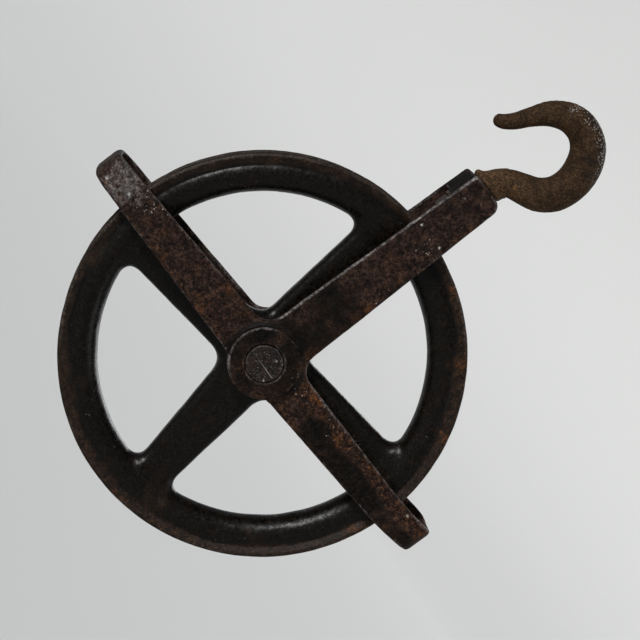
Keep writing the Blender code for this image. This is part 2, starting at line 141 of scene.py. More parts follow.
SWIVEL_HOLE_FOOT = 150.0
SWIVEL_CLEARANCE = 0.6

# Axle and its split pin, in millimetres
HEAD_MIDDLE = -32.15
HEAD_HALF_LENGTH = 4.5
HEAD_DOME = -33.0
AXLE_RADIUS = 9.5
AXLE_POINT_RADIUS = 8.3
AXLE_START = 8.0
SPLIT_PIN_Y = 41.5
SPLIT_PIN_HOLE = 2.2
SPLIT_PIN_WIRE = 0.85
SPLIT_PIN_LEG = 1.05
SPLIT_PIN_GAP = 0.7
SPLIT_PIN_EYE = 3.2

# Hook's centre line from its neck to its tip: x, z above the axle, radius
HOOK_SPINE = (
    (0.0, 209.8, 9.4),
    (0.6, 213.4, 9.5),
    (3.4, 218.2, 9.9),
    (9.0, 223.6, 10.9),
    (17.5, 228.3, 12.0),
    (28.0, 234.8, 13.2),
    (35.3, 245.0, 13.9),
    (37.0, 258.0, 14.1),
    (33.5, 272.0, 14.4),
    (24.8, 284.0, 14.1),
    (11.5, 290.0, 13.2),
    (-2.5, 288.0, 12.0),
    (-14.0, 278.5, 10.2),
    (-21.0, 265.5, 8.0),
    (-25.6, 254.5, 6.8),
    (-30.4, 247.4, 6.2),
    (-33.0, 245.2, 5.7),
)
HOOK_FLATTENING = 0.88
HOOK_SHRINK = 0.35
SHANK_RADIUS = 8.0
SHANK_TOP = 212.0
PEEN_RADIUS = 9.4
PEEN_HALF_HEIGHT = 1.6
COLLAR_RADIUS = 14.0
COLLAR_HALF_HEIGHT = 2.0
COLLAR_GAP = 0.3
HOOK_BOWL = (10.0, 262.0)
NUT_CORNER = 15.2


# Distance fields


def soft_min(a, b, blend):
    """Union of two fields with a fillet about as wide as blend."""
    overlap = np.maximum(blend - np.abs(a - b), 0.0)
    return np.minimum(a, b) - overlap * overlap / (4.0 * blend)


def soft_max(a, b, blend):
    """What two fields share, with edges rounded over about blend."""
    return -soft_min(-a, -b, blend)


def outline_distance(points, x, y):
    """Distance in a plane to a closed outline, negative inside it."""
    nearest = np.full(np.broadcast(x, y).shape, 1e12)
    inside = np.zeros(nearest.shape, bool)
    for (ax, ay), (bx, by) in zip(points, points[1:] + points[:1]):
        ex, ey = bx - ax, by - ay
        px, py = x - ax, y - ay
        along = np.clip((px * ex + py * ey) / (ex * ex + ey * ey), 0.0, 1.0)
        nearest = np.minimum(nearest, (px - ex * along) ** 2 + (py - ey * along) ** 2)
        if ay != by:
            inside ^= ((ay > y) != (by > y)) & (x < ex * (y - ay) / (by - ay) + ax)
    return np.where(inside, -1.0, 1.0) * np.sqrt(nearest)


def rounded_box(a, b, radius):
    """Distance to a rounded rectangle, from the distances past its two pairs of sides."""
    a, b = a + radius, b + radius
    outside = np.hypot(np.maximum(a, 0.0), np.maximum(b, 0.0))
    return outside + np.minimum(np.maximum(a, b), 0.0) - radius


def tapered_line(route, x, y, z):
    """Distance to a round bar through (x, z, radius) points in the plane y = 0."""
    nearest = np.full(np.broadcast(x, y, z).shape, 1e6)
    for (ax, az, ar), (bx, bz, br) in zip(route, route[1:]):
        ex, ez = bx - ax, bz - az
        px, pz = x - ax, z - az
        along = np.clip((px * ex + pz * ez) / (ex * ex + ez * ez), 0.0, 1.0)
        off = (px - ex * along) ** 2 + (pz - ez * along) ** 2
        nearest = np.minimum(nearest, np.sqrt(off + y * y) - ar - (br - ar) * along)
    return nearest


def ripple(x, y, z, wavelength, seed, waves=14):
    """A smooth uneven surface between about -1 and 1, the same on every run."""
    random = np.random.default_rng(seed)
    total = 0.0
    for _ in range(waves):
        direction = random.normal(size=3)
        pace = 2.0 * math.pi * random.uniform(0.6, 1.5) / wavelength
        direction *= pace / np.linalg.norm(direction)
        phase = random.uniform(0.0, 2.0 * math.pi)
        total = total + np.sin(direction[0] * x + direction[1] * y + direction[2] * z + phase)
    return np.clip(total / (1.5 * math.sqrt(waves)), -1.0, 1.0)


def arc(centre, radius, start, end, steps):
    """Points on an arc between two angles, both ends included."""
    angles = np.linspace(start, end, steps + 1)
    return [(centre[0] + radius * math.cos(a), centre[1] + radius * math.sin(a)) for a in angles]


def rounded_polygon(corners, steps=6):
    """Outline through (x, y, radius) corners, each rounded to its own radius."""
    points = []
    for index, (x, y, radius) in enumerate(corners):
        here = Vector((x, y))
        if radius == 0:
            points.append((x, y))
            continue
        before = (Vector(corners[index - 1][:2]) - here).normalized()
        after = (Vector(corners[(index + 1) % len(corners)][:2]) - here).normalized()
        half_angle = before.angle(after) / 2
        centre = here + (before + after).normalized() * radius / math.sin(half_angle)
        first = here + before * radius / math.tan(half_angle) - centre
        last = here + after * radius / math.tan(half_angle) - centre
        start = math.atan2(first.y, first.x)
        sweep = math.atan2(first.cross(last), first.dot(last))
        points += arc(centre, radius, start, start + sweep, steps)
    return points


def rim_section():
    """Section of the rim in (radius, y): a half-round trough with two flared lips."""
    lip_foot = math.asin((TROUGH_FOOT - TROUGH_CENTRE) / TROUGH_OUTSIDE)
    top = SHEAVE_RADIUS
    lip = [(top, RIM_HALF_WIDTH, 2.0), (top, RIM_HALF_WIDTH - LIP_THICKNESS, 1.4)]
    centre = (TROUGH_CENTRE, 0.0)
    start = math.pi / 2 - lip_foot
    groove = [(x, y, 0) for x, y in arc(centre, TROUGH_INSIDE, math.pi / 2, 1.5 * math.pi, 20)]
    trough = [(x, y, 0) for x, y in arc(centre, TROUGH_OUTSIDE, -start, start - 2 * math.pi, 32)]
    corners = lip + groove + [(x, -y, r) for x, y, r in reversed(lip)] + trough
    return rounded_polygon(corners)


RIM_SECTION = rim_section()


def spoke(along, across, y):
    """A pair of opposite spokes with rounded edges, tapering outwards."""
    half_width = SPOKE_ROOT - SPOKE_TAPER * np.abs(along)
    return rounded_box(np.abs(across) - half_width, np.abs(y) - SPOKE_HALF_DEPTH, SPOKE_EDGE)


def sheave_field(x, y, z):
    """The wheel: rim, two pairs of spokes, hub and bore."""
    radius = np.hypot(x, z)
    rim = outline_distance(RIM_SECTION, radius, y)
    u = x * math.cos(SPOKE_PHASE) + z * math.sin(SPOKE_PHASE)
    v = z * math.cos(SPOKE_PHASE) - x * math.sin(SPOKE_PHASE)
    spokes = soft_min(spoke(u, v, y), spoke(v, u, y), SPOKE_CROTCH)
    spokes = np.maximum(spokes, radius - SPOKE_END)
    body = soft_min(rim, spokes, np.interp(radius, *RIM_FILLET))
    hub = soft_max(radius - HUB_RADIUS, np.abs(y) - HUB_HALF_LENGTH, 3.0)
    body = soft_min(body, hub, 10.0)
    body = soft_max(body, BORE_RADIUS - radius, 1.5)
    return body + 0.16 * (1.0 + ripple(x, y, z, 26.0, 1)) + 0.05 * (1.0 + ripple(x, y, z, 7.0, 2))


def arm_corners(reach, lifts):
    """Lower and upper corners of a right arm, from its knee to its end."""
    knee, end = ARM_HALF_WIDTH[1:]
    tip = reach + ARM_SPARE
    return [
        (ARM_KNEE, lifts[0] - knee, ARM_KNEE_RADIUS), (tip, lifts[1] - end, ARM_CORNER),
        (tip, lifts[1] + end, ARM_CORNER), (ARM_KNEE, lifts[0] + knee, ARM_KNEE_RADIUS),
    ]


def frame_outline():
    """The T of the frame face on. Its arms are bent a little at their knees."""
    root, root_radius = HANGER_ROOT
    left_corner, right_corner = CROSSHEAD_CORNERS
    arm = ARM_HALF_WIDTH[0]
    corners = [(0.0, -arm, 0)]
    corners += arm_corners(FRAME_HIGH.x, RIGHT_LIFT)
    corners += [(root, arm, root_radius), (HANGER_HALF_WIDTH, CROSSHEAD_TOP, right_corner)]
    corners += [(-HANGER_HALF_WIDTH, CROSSHEAD_TOP, left_corner), (-root, arm, root_radius)]
    left = arm_corners(-FRAME_LOW.x, LEFT_LIFT)
    corners += [(-x, z, radius) for x, z, radius in reversed(left)]
    return rounded_polygon(corners)


FRAME_OUTLINE = frame_outline()


def frame_field(x, y, z):
    """The frame: a T-shaped loop with its crosshead, bosses, bores and the head's seat."""
    radius = np.hypot(x, z)
    depth = np.abs(y)
    middle = (FRAME_LOW.x + FRAME_HIGH.x) / 2
    half_length = (FRAME_HIGH.x - FRAME_LOW.x) / 2
    outline = outline_distance(FRAME_OUTLINE, x, z)
    outer = rounded_box(np.abs(x - middle) - half_length, depth - HALF_DEPTH, KEEPER_BEND)
    inner = rounded_box(
        np.abs(x - middle) - half_length + STRAP, depth - HALF_DEPTH + STRAP, KEEPER_BEND - STRAP
    )
    cavity = soft_max(inner, z - CROSSHEAD_UNDERSIDE, 6.0)
    body = soft_max(soft_max(outline, outer, 2.2), -cavity, 2.0)

    boss = soft_max(radius - BOSS_RADIUS, depth - BOSS_FACE, 2.4)
    boss = soft_max(boss, BOSS_PAD - depth, 1.5)
    step = soft_max(radius - BOSS_STEP_RADIUS, depth - HALF_DEPTH - BOSS_STEP_RISE, 2.0)
    step = np.maximum(np.maximum(step, outline), HALF_DEPTH - 3.0 - depth)
    body = soft_min(body, step, 2.0)
    body = soft_min(body, boss, 2.5)
    body = body + 0.14 * (1.0 + ripple(x, y, z, 30.0, 3)) + 0.06 * (1.0 + ripple(x, y, z, 8.0, 4))

    head_bore = np.maximum(radius - HEAD_RADIUS - HEAD_CREVICE, y + HEAD_SEAT)
    body = soft_max(body, -head_bore, 0.9)
    body = soft_max(body, BORE_RADIUS - radius, 0.8)
    swivel_hole = np.hypot(x, y) - SHANK_RADIUS - SWIVEL_CLEARANCE
    swivel_hole = np.maximum(swivel_hole, SWIVEL_HOLE_FOOT - z)
    return soft_max(body, -swivel_hole, 1.0)


def smooth_route(points, steps):
    """The same route with a Catmull-Rom curve drawn through its points."""
    rows = np.array([points[0], *points, points[-1]], float)
    route = []
    for a, b, c, d in zip(rows, rows[1:], rows[2:], rows[3:]):
        for t in np.arange(steps) / steps:
            point = 2 * b + (c - a) * t + (2 * a - 5 * b + 4 * c - d) * t**2
            point += (3 * b - a - 3 * c + d) * t**3
            route.append(tuple(point / 2))
    return route + [tuple(rows[-1])]


HOOK_ROUTE = smooth_route(HOOK_SPINE, 4)


def hook_field(x, y, z):
    """The hook with its collar, its shank and the peen at the shank's end."""
    bar = tapered_line(HOOK_ROUTE, x, y / HOOK_FLATTENING, z)
    around = np.hypot(x, y)
    collar = np.abs(z - CROSSHEAD_TOP - COLLAR_GAP - COLLAR_HALF_HEIGHT) - COLLAR_HALF_HEIGHT
    collar = soft_max(around - COLLAR_RADIUS, collar, 2.4)
    body = soft_min(bar, collar, 7.0)
    end = HOOK_LOW.z
    shank = np.abs(z - (end + SHANK_TOP) / 2) - (SHANK_TOP - end) / 2
    shank = np.maximum(around - SHANK_RADIUS, shank)
    peen = np.abs(z - end - PEEN_HALF_HEIGHT) - PEEN_HALF_HEIGHT
    peen = soft_max(around - PEEN_RADIUS, peen, 2.2)
    body = soft_min(body, np.minimum(shank, peen), 0.6)
    wear = 0.12 * (1.0 + ripple(x, y, z, 17.0, 5)) + 0.06 * (1.0 + ripple(x, y, z, 5.0, 6))
    return body + np.where(around + np.abs(z - 190.0) > 40.0, wear + HOOK_SHRINK, 0.05)


def axle_field(x, y, z):
    """The headed axle, with an uneven face and the split pin's hole across its far end."""
    radius = np.hypot(x, z)
    head = soft_max(radius - HEAD_RADIUS, np.abs(y - HEAD_MIDDLE) - HEAD_HALF_LENGTH, 1.6)
    dome = 0.10 * (1.0 + ripple(x, 0.0 * y, z, 14.0, 7)) * (y < HEAD_DOME)
    shank = np.abs(y - AXLE_START) - (AXLE_HIGH.y - AXLE_START)
    shank = np.maximum(radius - AXLE_RADIUS, shank)
    point = y - AXLE_HIGH.y + np.maximum(radius - AXLE_POINT_RADIUS, 0.0)
    shank = soft_max(shank, point, 0.8)
    hole = np.hypot(x, y - SPLIT_PIN_Y) - SPLIT_PIN_HOLE
    return soft_max(np.minimum(head + dome, shank), -hole, 0.5)


def washer_field(low, high, bore, axis):
    """Field of a worn flat washer that fills a CAD box, bored along y (1) or z (2)."""
    middle = (low[axis] + high[axis]) / 2
    half = (high[axis] - low[axis]) / 2
    outer = (high[0] - low[0]) / 2

    def field(x, y, z):
        along, around = (y, np.hypot(x, z)) if axis == 1 else (z, np.hypot(x, y))
        ring = soft_max(around - outer, bore - around, 0.8)
        return soft_max(ring, np.abs(along - middle) - half, 0.9) + 0.05

    return field


def nut_field(x, y, z):
    """A square nut with its corners chamfered, bored clear of the shank."""
    half = (NUT_HIGH.x - NUT_LOW.x) / 2
    middle, tall = (NUT_HIGH.z + NUT_LOW.z) / 2, (NUT_HIGH.z - NUT_LOW.z) / 2
    square = rounded_box(np.abs(x) - half, np.abs(y) - half, 2.0)
    body = soft_max(square, np.abs(z - middle) - tall, 1.4)
    chamfer = (np.hypot(x, y) + np.abs(z - middle) - tall - NUT_CORNER) * 0.7
    body = soft_max(body, chamfer, 1.0)
    body = soft_max(body, SHANK_RADIUS + 0.3 - np.hypot(x, y), 0.6)
    return body + 0.08 * (1.0 + ripple(x, y, z, 9.0, 8))


def split_pin_route():
    """One leg of the split pin, from its bent tip to the top of its eye: x, z, radius."""
    wire, leg = SPLIT_PIN_WIRE, SPLIT_PIN_LEG
    wrap = AXLE_RADIUS + wire + SPLIT_PIN_GAP
    route = [(wrap * math.cos(a), wrap * math.sin(a), wire) for a in (-2.35, -2.05, -1.8)]
    route += [(-leg, -AXLE_RADIUS, wire), (-leg, 0.0, wire), (-leg, AXLE_RADIUS + 1.0, wire)]
    eye = arc((0.0, 14.9), SPLIT_PIN_EYE, math.radians(215), math.radians(90), 6)
    return smooth_route(route + [(x, z, wire) for x, z in eye], 4)


SPLIT_PIN_ROUTE = split_pin_route()


def split_pin_field(x, y, z):
    """Both legs of the split pin, which are mirror images."""
    return tapered_line(SPLIT_PIN_ROUTE, -np.abs(x), y - SPLIT_PIN_Y, z)


# Meshing


def crossing_points(values, cells):
    """The mean point where the field changes sign on each cell's edges, in cell units."""
    total = np.zeros((len(cells), 3))
    count = np.zeros(len(cells))
    for axis in range(3):
        for near in (0, 1):
            for far in (0, 1):
                start = np.insert([near, far], axis, 0)
                end = np.insert([near, far], axis, 1)
                a = values[tuple((cells + start).T)]
                b = values[tuple((cells + end).T)]
                crosses = (a < 0) != (b < 0)
                share = np.where(crosses, a / np.where(crosses, a - b, 1.0), 0.0)
                point = start + share[:, None] * (end - start)
                total += np.where(crosses[:, None], point, 0.0)
                count += crosses
    return total / count[:, None]


def surface_net(field, low, high, step):
    """Points and quads of the zero surface of a field inside a box."""
    axes = [np.arange(a - 2.5 * step, b + 3.5 * step, step) for a, b in zip(low, high)]
    values = np.array(field(*np.ix_(*axes)), np.float32)
    inside = values < 0
    count = np.zeros([len(a) - 1 for a in axes], np.int8)
    for corner in np.ndindex(2, 2, 2):
        window = tuple(slice(c, len(a) - 1 + c) for c, a in zip(corner, axes))
        count += inside[window]
    cells = np.argwhere((count > 0) & (count < 8))
    number = np.full(count.shape, -1)
    number[tuple(cells.T)] = np.arange(len(cells))
    points = (cells + crossing_points(values, cells)) * step + [a[0] for a in axes]

    quads = []
    for axis in range(3):
        u, v = (axis + 1) % 3, (axis + 2) % 3
        before = np.take(inside, range(len(axes[axis]) - 1), axis)
        after = np.take(inside, range(1, len(axes[axis])), axis)
        edges = np.argwhere(before != after)
        leaving = before[tuple(edges.T)]
        step_u, step_v = np.eye(3, dtype=int)[[u, v]]
        around = [edges - step_u - step_v, edges - step_v, edges, edges - step_u]
        ring = np.stack([number[tuple(cell.T)] for cell in around], 1)
        quads.append(np.where(leaving[:, None], ring, ring[:, ::-1]))
    return points, np.concatenate(quads)


def gradient(field, points, reach=0.05):
    """The field's slope at each point, taken across twice reach."""
    slope = np.empty_like(points)
    for axis, offset in enumerate(np.eye(3) * reach):
        slope[:, axis] = field(*(points + offset).T) - field(*(points - offset).T)
    return slope / (2 * reach)


def onto_surface(field, points, step):
    """Moves points along the slope to the zero surface, by no more than step."""
    slope = gradient(field, points)
    length = np.maximum((slope**2).sum(1), 0.05)
    move = slope * (field(*points.T) / length)[:, None]
    return points - np.clip(move, -step, step)


def neighbour_mean(points, quads):
    """Each point's average over the points it shares an edge with."""
    total = np.zeros_like(points)
    count = np.zeros(len(points))
    for a, b in ((0, 1), (1, 2), (2, 3), (3, 0)):
        for here, there in ((quads[:, a], quads[:, b]), (quads[:, b], quads[:, a])):
            for axis in range(points.shape[1]):
                total[:, axis] += np.bincount(here, points[there, axis], len(points))
            count += np.bincount(here, minlength=len(points))
    return total / count[:, None]


def edge_wear(points, normals, quads, step):
    """How sharply the surface stands out at each point: above 0 on edges, which the materials wear
    bare, below in corners, which they darken with painted shade.
    """
    lean = ((points - neighbour_mean(points, quads)) * normals).sum(1) / step
    lean = lean[:, None]
    for _ in range(3):
        lean = 0.4 * lean + 0.6 * neighbour_mean(lean, quads)
    return lean[:, 0]


def field_piece(name, field, low, high, step, body, replaced, material):
    """A smooth closed mesh of a field, standing for one CAD node."""
    points, quads = surface_net(field, low, high, step)
    for _ in range(3):
        points = 0.5 * points + 0.5 * neighbour_mean(points, quads)
        points = onto_surface(field, points, step)
    points = onto_surface(field, points, step)
    slope = gradient(field, points)
    normals = slope / np.maximum(np.linalg.norm(slope, axis=1), 1e-6)[:, None]
    wear = edge_wear(points, normals, quads, step)

    mesh = bpy.data.meshes.new(name)
    mesh.from_pydata((points * MM + np.array(AXLE)).tolist(), [], quads.tolist())
    stored = mesh.attributes.new("wear", "FLOAT", "POINT")
    stored.data.foreach_set("value", wear.astype(np.float32))
    mesh.shade_smooth()
    mesh.materials.append(material)
    piece = bpy.data.objects.new(name, mesh)
    bpy.context.scene.collection.objects.link(piece)
    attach(piece, body)
    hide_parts(replaced)
    return piece


# Materials


class Surface:
    """A material's node tree. Textures are read from the piece's own place, in millimetres."""

    def __init__(self, name, specular):
        self.material = bpy.data.materials.new(name)
        self.material.use_nodes = True
        self.tree = self.material.node_tree
        self.shader = self.tree.nodes["Principled BSDF"]
        self.shader.inputs["Specular IOR Level"].default_value = specular
        place = self.tree.nodes.new("ShaderNodeTexCoord").outputs["Object"]
        scaled = self.node("ShaderNodeVectorMath", (place, (1 / MM,) * 3), operation="MULTIPLY")
        self.place = self.node("ShaderNodeVectorMath", (scaled, tuple(-AXLE / MM)), operation="ADD")
        self.wear = self.tree.nodes.new("ShaderNodeAttribute")
        self.wear.attribute_name = "wear"
        self.wear = self.wear.outputs["Fac"]

    def node(self, kind, inputs=(), output=0, **settings):
        """Adds a node and returns one of its outputs. Inputs go in order; None leaves one alone."""
        node = self.tree.nodes.new(kind)
        for key, value in settings.items():
            setattr(node, key, value)
        pairs = inputs.items() if isinstance(inputs, dict) else enumerate(inputs)
        for key, value in pairs:
            if value is not None:
                self.feed(node.inputs[key], value)
        return node.outputs[output]

    def feed(self, socket, value):
        if isinstance(value, bpy.types.NodeSocket):
            self.tree.links.new(value, socket)
        else:
            socket.default_value = value

    def noise(self, size, detail=4.0, roughness=0.55, distortion=0.0, shift=0.0):
        """Noise from 0 to 1 whose largest features are about size millimetres across."""
        moved = self.node("ShaderNodeVectorMath", (self.place, (shift,) * 3), operation="ADD")
        inputs = {"Vector": moved, "Scale": 1.0 / size, "Detail": detail}
        inputs.update({"Roughness": roughness, "Distortion": distortion})
        return self.node("ShaderNodeTexNoise", inputs)

    def cells(self, size, shift=0.0):
        """Distance to the nearest of scattered points about size millimetres apart."""
        moved = self.node("ShaderNodeVectorMath", (self.place, (shift,) * 3), operation="ADD")
        return self.node("ShaderNodeTexVoronoi", {"Vector": moved, "Scale": 1.0 / size})

    def ramp(self, value, low, high, to_low=0.0, to_high=1.0):
        inputs = (value, low, high, to_low, to_high)
        return self.node("ShaderNodeMapRange", inputs, interpolation_type="SMOOTHSTEP")

    def math(self, operation, *values):
        return self.node("ShaderNodeMath", values, operation=operation)

    def mix(self, share, a, b, blend="MIX"):
        inputs = {"Factor": share, "A": a, "B": b}
        node = self.tree.nodes.new("ShaderNodeMix")
        node.data_type = "RGBA"
        node.blend_type = blend
        for name, value in inputs.items():
            socket = next(s for s in node.inputs if s.name == name and s.enabled)
            self.feed(socket, value)
        return next(s for s in node.outputs if s.enabled)

    def axes(self):
        parts = self.tree.nodes.new("ShaderNodeSeparateXYZ")
        self.tree.links.new(self.place, parts.inputs[0])
        return parts.outputs

    def finish(self, colour, roughness, metallic, heights):
        """Joins the shader up. Heights are (value, millimetres) pairs of bump, coarse first."""
        self.feed(self.shader.inputs["Base Color"], colour)
        self.feed(self.shader.inputs["Roughness"], roughness)
        self.feed(self.shader.inputs["Metallic"], metallic)
        normal = None
        for value, tall in heights:
            inputs = {"Strength": 1.0, "Distance": tall * MM, "Height": value, "Normal": normal}
            normal = self.node("ShaderNodeBump", inputs)
        self.feed(self.shader.inputs["Normal"], normal)
        return self.material


def iron(
    name, look, paint=None, rust_where=None, bare_and_highlight_where=None, chips_where=None, nicks=None,
    rough_where=None,
):
    """Old iron: two browns of rust, orange bloom, the last of the paint, bare worn edges, and
    painted shade darkening its corners and creases.

    The last six take the surface and return a mask. Paint at 0.5 leaves it as the look has
    it, rust and chips at 1 leave the bloom and chips alone, and bare, nicks and rough at 0
    add nothing.
    """
    s = Surface(name, look["specular"])
    broad = s.noise(look["patch"], 5.0, 0.6, 0.4)
    speck = s.noise(2.6, 4.0, 0.75, shift=31.0)
    grain = s.noise(1.4, 2.0, 0.6, shift=77.0)
    uneven = s.math("SUBTRACT", speck, 0.5)

    brown = s.ramp(s.noise(8.0, 6.0, 0.72, shift=13.0), 0.40, 0.60)
    rust = s.mix(brown, look["rust_dark"], look["rust"])
    bloom = s.noise(look["bloom_size"], 7.0, 0.74, 0.3, shift=51.0)
    bloom = s.ramp(bloom, look["bloom_from"], look["bloom_from"] + 0.16)
    dots = s.math("MULTIPLY", s.ramp(grain, 0.56, 0.66), look["dots"])
    bloom = s.math("MAXIMUM", bloom, dots)
    if rust_where:
        bloom = s.math("MULTIPLY", bloom, rust_where(s))
    rust = s.mix(bloom, rust, look["bloom"])

    cover = s.math("ADD", broad, s.math("MULTIPLY", uneven, 0.45))
    if paint:
        # For the hook this mask is painted shade: it darkens the far side of the bowl.
        more = s.math("SUBTRACT", paint(s), 0.5)
        cover = s.math("ADD", cover, s.math("MULTIPLY", more, 0.6))
    painted = s.ramp(cover, look["paint_from"], look["paint_from"] + 0.12, 0.0, 0.88)
    edge = s.ramp(s.math("ADD", s.wear, s.math("MULTIPLY", uneven, 0.16)), 0.05, 0.13)
    painted = s.math("MULTIPLY", painted, s.math("SUBTRACT", 1.0, edge))
    colour = s.mix(painted, rust, look["paint"])
    bare = s.math("MULTIPLY", edge, s.ramp(broad, 0.40, 0.56))
    bare = s.math("MULTIPLY", bare, look["bare_share"])
    # For the frame this mask also paints highlights on the light-facing left edges and a painted
    # sheen on the left arm's end.
    if bare_and_highlight_where:
        bare = s.math("MAXIMUM", bare, bare_and_highlight_where(s))
    colour = s.mix(bare, colour, look["bare"])

    tone = s.ramp(speck, 0.36, 0.64, *look["tone"])
    tone = s.math("MULTIPLY", tone, s.ramp(grain, 0.35, 0.65, 0.6, 1.4))
    # Painted shade: where the surface sinks into a corner or crease (wear below 0) the colour is
    # darkened down to 0.35, as if in shade.
    shade = s.math("MULTIPLY", tone, s.ramp(s.wear, -0.16, 0.0, 0.35, 1.0))
    colour = s.mix(1.0, colour, s.node("ShaderNodeCombineColor", (shade, shade, shade)), "MULTIPLY")

    chips = s.ramp(s.cells(look["chip_gap"], 9.0), look["chip_size"], look["chip_size"] / 2)
    if chips_where:
        chips = s.math("MULTIPLY", chips, chips_where(s))
    else:
        chips = s.math("MULTIPLY", chips, s.ramp(s.noise(30.0, 3.0, shift=5.0), 0.60, 0.66))
    chips = s.math("MULTIPLY", chips, look["chips"])
    if nicks:
        chips = s.math("MAXIMUM", chips, nicks(s))
    colour = s.mix(chips, colour, (0.36, 0.34, 0.31, 1.0))

    roughness = s.ramp(painted, 0.0, 1.0, look["rust_rough"], look["paint_rough"])
    roughness = s.math("ADD", roughness, s.ramp(speck, 0.3, 0.7, -0.08, 0.08))
    if rough_where:
        roughness = s.math("MAXIMUM", roughness, rough_where(s))
    lumps = s.noise(6.0, 3.0, 0.5, shift=19.0)
    heights = [(lumps, look["lumps"]), (speck, look["fine"]), (grain, look["grain"])]
    return s.finish(colour, roughness, s.math("MULTIPLY", bare, 0.7), heights)


def spot(s, x, z, reach, strength=1.0, soft=0.7):
    """A ragged patch on the front, about reach millimetres from its middle to its edge."""
    axes = s.axes()
    across = s.math("SUBTRACT", axes[0], x)
    up = s.math("SUBTRACT", axes[2], z)
    far = s.math("ADD", s.math("MULTIPLY", across, across), s.math("MULTIPLY", up, up))
    far = s.math("MULTIPLY", s.math("SQRT", far), 1.0 / reach)
    ragged = s.noise(min(reach, 4.0), 5.0, 0.8, shift=3.0)
    far = s.math("ADD", far, s.ramp(ragged, 0.3, 0.7, -0.8, 0.8))
    patch = s.ramp(far, 1.0 + soft / 2, 1.0 - soft, 0.0, strength)
    return s.math("MULTIPLY", patch, s.ramp(axes[1], -10.0, -20.0))


def radius_from_axle(s):
    """Millimetres from the axle's centre line."""
    x, _, z = s.axes()
    return s.math("SQRT", s.math("ADD", s.math("MULTIPLY", x, x), s.math("MULTIPLY", z, z)))


def strongest(s, *masks):
    """The largest of some masks at each place."""
    most = masks[0]
    for mask in masks[1:]:
        most = s.math("MAXIMUM", most, mask)
    return most


def wheel_paint(s):
    """The wheel has lost its paint on the lips of the rim."""
    return s.ramp(radius_from_axle(s), SHEAVE_RADIUS - 2.0, SHEAVE_RADIUS - 13.0, 0.05, 0.76)


def wheel_rust(s):
    """The right side of the wheel is the rustiest."""
    return s.ramp(s.axes()[0], -60.0, 110.0, 0.25, 1.4)


def frame_rust(s):
    """Orange shows most on the right arm's upper edge and on the lower side of the boss."""
    x, _, z = s.axes()
    right = s.ramp(x, 5.0, 30.0)
    upper = s.ramp(s.math("SUBTRACT", z, s.math("MULTIPLY", x, 0.03)), -4.0, 12.0, 0.4, 1.5)
    arm = s.math("MULTIPLY", right, upper)
    left_arm = s.ramp(x, -16.0, -30.0, 0.0, 0.45)
    left_arm = s.math("MULTIPLY", left_arm, s.ramp(x, -130.0, -60.0, 0.4, 1.0))
    below = s.ramp(z, -4.0, -14.0, 0.0, 0.8)
    return s.math("MAXIMUM", strongest(s, arm, left_arm, below), 0.12)


def frame_paint(s):
    """Black paint holds low on the hanger, on the right arm and on the boss; the crosshead's left
    side is made darker too.
    """
    x, _, z = s.axes()
    hanger = s.math("MULTIPLY", s.ramp(z, 18.0, 32.0), s.ramp(z, 110.0, 60.0))
    side = s.math("MULTIPLY", s.ramp(x, -13.5, -14.6, 0.0, 1.2), s.ramp(z, 140.0, 150.0))
    arm = s.math("MULTIPLY", s.ramp(x, 36.0, 66.0), s.ramp(z, 11.0, 0.0, 0.25, 0.95))
    boss = s.ramp(radius_from_axle(s), 34.0, 29.0, 0.0, 0.80)
    return s.ramp(strongest(s, hanger, side, arm, boss), 0.0, 1.0, 0.42, 0.86)


def frame_bare_and_painted_highlights(s):
    """Worn grey, partly painted highlight: a painted sheen on the left arm's end, and worn lines on
    the hanger's left front edge and the boss's left edge, kept to the edges that face the light.
    """
    x, y, z = s.axes()
    edge = s.math("MULTIPLY", s.ramp(s.wear, 0.04, 0.10), s.ramp(y, -22.0, -27.0, 0.0, 0.8))
    hanger = s.math("MULTIPLY", s.ramp(x, -11.0, -14.0), s.ramp(z, 22.0, 30.0))
    radius = radius_from_axle(s)
    boss = s.math("MULTIPLY", s.ramp(radius, 23.0, 25.0), s.ramp(radius, 34.0, 32.0))
    boss = s.math("MULTIPLY", boss, s.ramp(x, -4.0, -16.0, 0.0, 0.7))
    broken = s.ramp(s.noise(6.0, 5.0, 0.8, shift=23.0), 0.36, 0.56)
    # Painted highlights: the worn lines are kept to the hanger's and the boss's left edges, which
    # face the light.
    lines = s.math("MULTIPLY", s.math("MULTIPLY", edge, broken), s.math("MAXIMUM", hanger, boss))
    # Painted sheen: a soft grey patch on the left arm's end, where the strap turns towards the
    # light.
    left_end_painted_sheen = spot(s, -166.0, 1.0, 14.0, 0.38, 0.9)
    return strongest(s, lines, left_end_painted_sheen, spot(s, -158.0, -3.0, 4.0, 0.5))


def frame_rough(s):
    """The crosshead's left side is dull all over."""
    x, y, z = s.axes()
    side = s.math("MULTIPLY", s.ramp(x, -12.5, -13.5), s.ramp(z, 150.0, 160.0))
    return s.math("MULTIPLY", side, s.ramp(y, -28.0, -25.0))


def frame_nicks(s):
    """Small fresh nicks near both arms' ends and on the upper part of the hanger."""
    return strongest(
        s, spot(s, -158.0, -2.5, 1.1), spot(s, -177.0, -8.0, 1.3, 0.7), spot(s, -11.0, 153.0, 0.9),
        spot(s, 10.5, 153.0, 0.9), spot(s, 166.0, 19.0, 1.1), spot(s, 158.0, 14.0, 1.0, 0.7),
    )


def head_nicks(s):
    """A faint scratch and two bright nicks on the axle's head."""
    x, _, z = s.axes()
    off = s.math("ABSOLUTE", s.math("ADD", s.math("ADD", z, 1.5), s.math("MULTIPLY", x, 0.05)))
    along = s.math("MULTIPLY", s.ramp(x, -9.0, 8.0, 0.05, 0.45), s.ramp(x, 12.5, 11.0))
    scratch = s.math("MULTIPLY", s.ramp(off, 0.40, 0.15), along)
    return strongest(s, scratch, spot(s, 3.7, 8.1, 0.7, 0.8), spot(s, 9.4, -8.2, 0.7, 0.8))


def everywhere(s):
    """A mask that is 1 all over."""
    return 1.0


